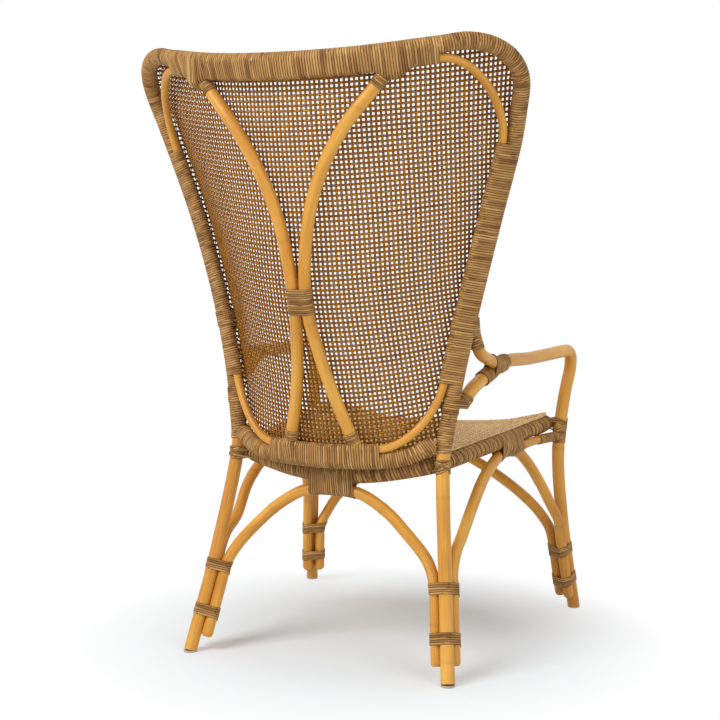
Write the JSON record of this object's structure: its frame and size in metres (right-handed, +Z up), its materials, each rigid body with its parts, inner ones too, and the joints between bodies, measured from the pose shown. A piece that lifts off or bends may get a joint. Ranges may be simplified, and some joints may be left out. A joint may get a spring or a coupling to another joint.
{
  "type": "rattan wing-back armchair",
  "caption": "High wing-back armchair of bent rattan poles with an open woven back, a dense woven seat, bent arms and arched stretchers, its joints bound with cane.",
  "frame": {"origin": "middle of the bounding box, on the floor", "axes": "+Z up, -Y the way the sitter faces, +X to the sitter's left"},
  "size_m": [0.8126, 0.8272, 1.2032],
  "materials": {
    "rattan_pole": "satin lacquered rattan pole",
    "cane_wrap": "flat split cane, low sheen",
    "cane_weave": "round cane core, low sheen",
    "seat_cane": "fine woven cane, matt",
    "glide_nylon": "pale moulded nylon"
  },
  "bodies": {
    "root": {"back_frame_pole": "rattan_pole", "back_inner_hoop": "rattan_pole", "back_bottom_rail": "rattan_pole", "top_wrap": "cane_wrap", "side_wrap_left": "cane_wrap", "side_wrap_right": "cane_wrap", "bottom_wrap": "cane_wrap", "back_brace_left": "rattan_pole", "back_brace_right": "rattan_pole", "back_weave": "cane_weave", "seat_ring": "rattan_pole", "seat_wrap_rear": "cane_wrap", "seat_wrap_left": "cane_wrap", "seat_wrap_front": "cane_wrap", "seat_wrap_right": "cane_wrap", "seat_weave": "seat_cane", "front_leg_arm_left": "rattan_pole", "arm_elbow_left": "rattan_pole", "arm_junction_wrap_left": "cane_wrap", "front_leg_arm_right": "rattan_pole", "arm_elbow_right": "rattan_pole", "arm_junction_wrap_right": "cane_wrap", "rear_arch": "rattan_pole", "front_arch": "rattan_pole", "side_arch_left": "rattan_pole", "seat_side_rail_left": "rattan_pole", "side_arch_right": "rattan_pole", "seat_side_rail_right": "rattan_pole", "rear_leg_binding_left_lower": "cane_wrap", "rear_leg_binding_right_lower": "cane_wrap", "rear_leg_binding_left_upper": "cane_wrap", "rear_leg_binding_right_upper": "cane_wrap", "front_leg_binding_left_lower": "cane_wrap", "front_leg_binding_right_lower": "cane_wrap", "front_leg_binding_left_upper": "cane_wrap", "front_leg_binding_right_upper": "cane_wrap", "rear_arch_binding": "cane_wrap", "front_arch_binding": "cane_wrap", "side_arch_binding_left": "cane_wrap", "side_arch_binding_right": "cane_wrap", "brace_tie_binding": "cane_wrap", "brace_foot_binding_left": "cane_wrap", "brace_top_binding_left": "cane_wrap", "brace_foot_binding_right": "cane_wrap", "brace_top_binding_right": "cane_wrap", "arm_end_binding_left": "cane_wrap", "elbow_top_binding_left": "cane_wrap", "arm_end_binding_right": "cane_wrap", "elbow_top_binding_right": "cane_wrap", "rear_seat_binding_left": "cane_wrap", "rear_seat_binding_right": "cane_wrap", "front_seat_binding_left": "cane_wrap", "front_seat_binding_right": "cane_wrap", "glide_rear_left": "glide_nylon", "glide_rear_right": "glide_nylon", "glide_front_left": "glide_nylon", "glide_front_right": "glide_nylon"}
  },
  "joints": []
}
